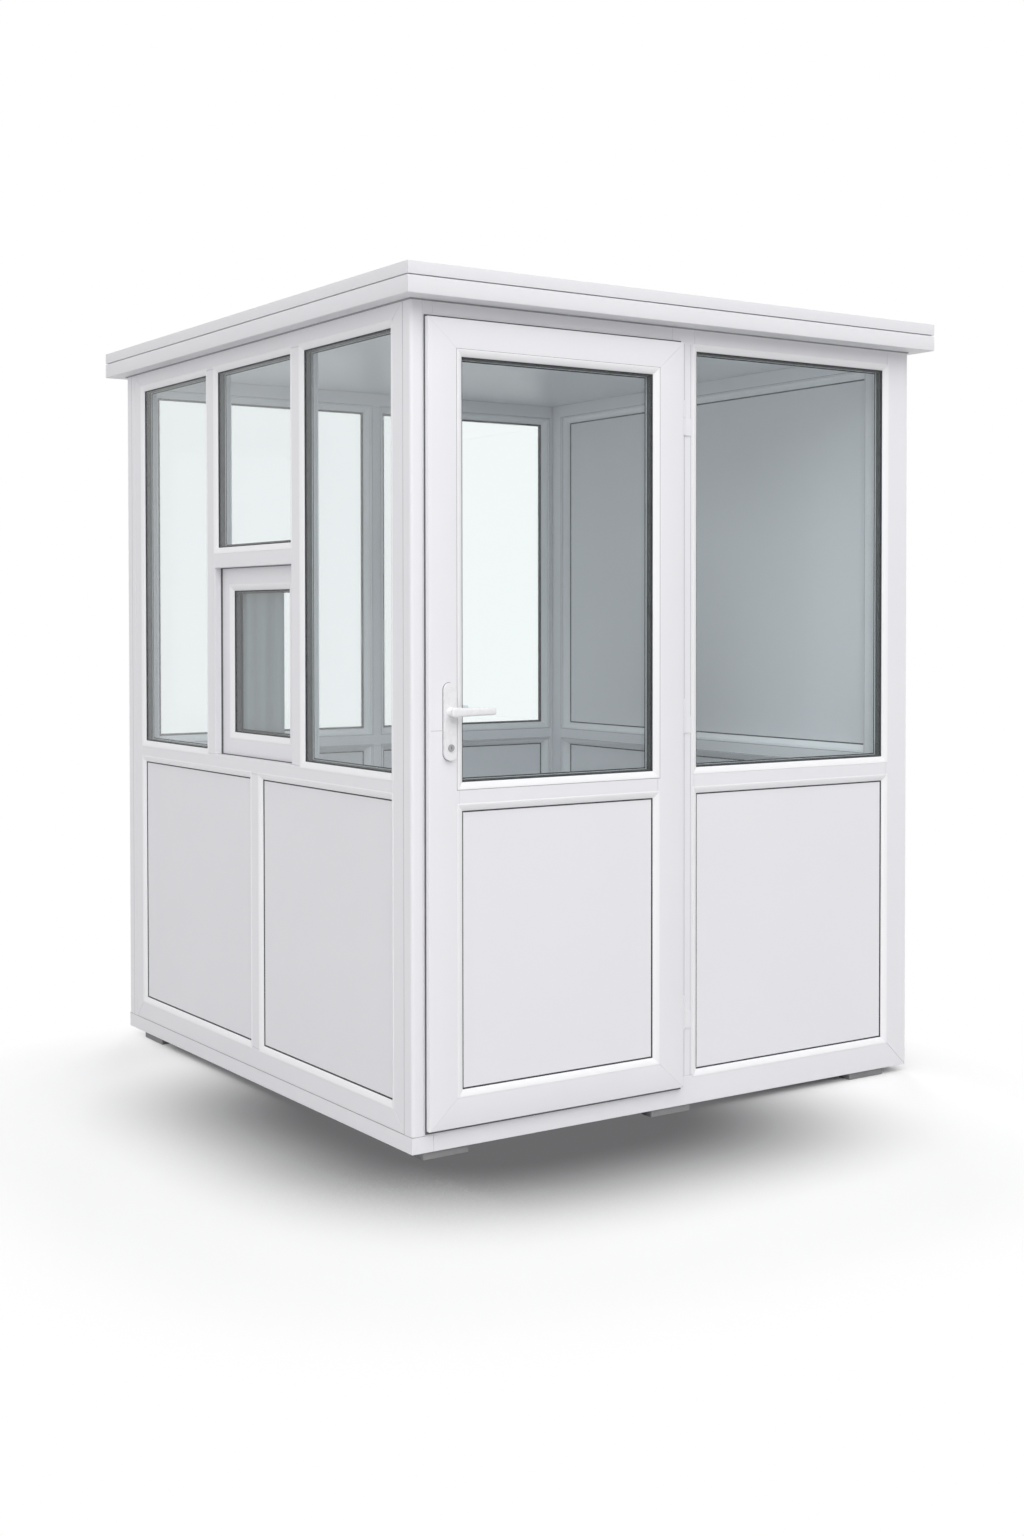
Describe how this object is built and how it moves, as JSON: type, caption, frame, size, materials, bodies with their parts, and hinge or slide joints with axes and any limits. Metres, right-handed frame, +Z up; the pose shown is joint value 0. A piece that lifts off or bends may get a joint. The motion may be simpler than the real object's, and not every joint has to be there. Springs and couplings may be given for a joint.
{
  "type": "security guard booth",
  "caption": "Free-standing guard booth of white plastic profiles with double glazing, flat roof, overlapping glazed door, lever handle and a service window",
  "frame": {"origin": "on the ground under the middle of the booth's outer box", "axes": "+Z up; the door wall faces -Y and the service window wall faces -X"},
  "size_m": [1.75, 1.874, 2.151],
  "materials": {
    "white_profile": "smooth white plastic profile with a satin sheen",
    "panel_skin": "smooth white panel skin, slightly duller than the profiles",
    "double_glazing": "clear double glazing with a faint green-grey tint",
    "foot_rubber": "dark grey support pads",
    "floor_sheet": "pale grey floor covering",
    "white_metal": "white powder coat",
    "lock_metal": "grey satin metal"
  },
  "bodies": {
    "booth": {"support_feet": "foot_rubber", "base_side_rails": "white_profile", "base_back_rail": "white_profile", "floor_panel": "floor_sheet", "front_corner_post": "white_profile", "back_corner_posts": "white_profile", "front_sill": "white_profile", "front_rails": "white_profile", "front_uprights": "white_profile", "front_window_glass": "double_glazing", "front_lower_panel": "panel_skin", "front_beads": "white_profile", "left_rails": "white_profile", "left_uprights": "white_profile", "left_window_glass": "double_glazing", "left_lower_panels": "panel_skin", "left_beads": "white_profile", "service_sash": "white_profile", "service_glass": "double_glazing", "back_rails": "white_profile", "back_uprights": "white_profile", "back_window_glass": "double_glazing", "back_lower_panels": "panel_skin", "back_beads": "white_profile", "right_rails": "white_profile", "right_uprights": "white_profile", "right_panels": "panel_skin", "right_beads": "white_profile", "roof_panel": "panel_skin", "roof_fascia_lower": "white_profile", "roof_fascia_upper": "white_profile", "hinge_frame_halves": "white_metal"},
    "door": {"door_outer_stiles": "white_profile", "door_outer_rails": "white_profile", "door_inner_stiles": "white_profile", "door_inner_rails": "white_profile", "door_mid_rail": "white_profile", "door_glass": "double_glazing", "door_lower_panel": "panel_skin", "door_beads": "white_profile", "handle_backplates": "white_metal", "key_cylinders": "lock_metal", "hinge_leaf_halves": "white_metal"},
    "handle": {"lever_handle": "white_metal"}
  },
  "joints": [
    {"name": "door_swing", "type": "hinge", "parent": "booth", "child": "door", "pos_m": [-0.003, -0.882, 1.054], "axis": [0, 0, 1], "range_deg": [0, 100]},
    {"name": "handle_turn", "type": "hinge", "parent": "door", "child": "handle", "pos_m": [-0.737, -0.895, 1.086], "axis": [0, 1, 0], "range_deg": [0, 40], "stiffness_Nm_per_rad": 1}
  ]
}
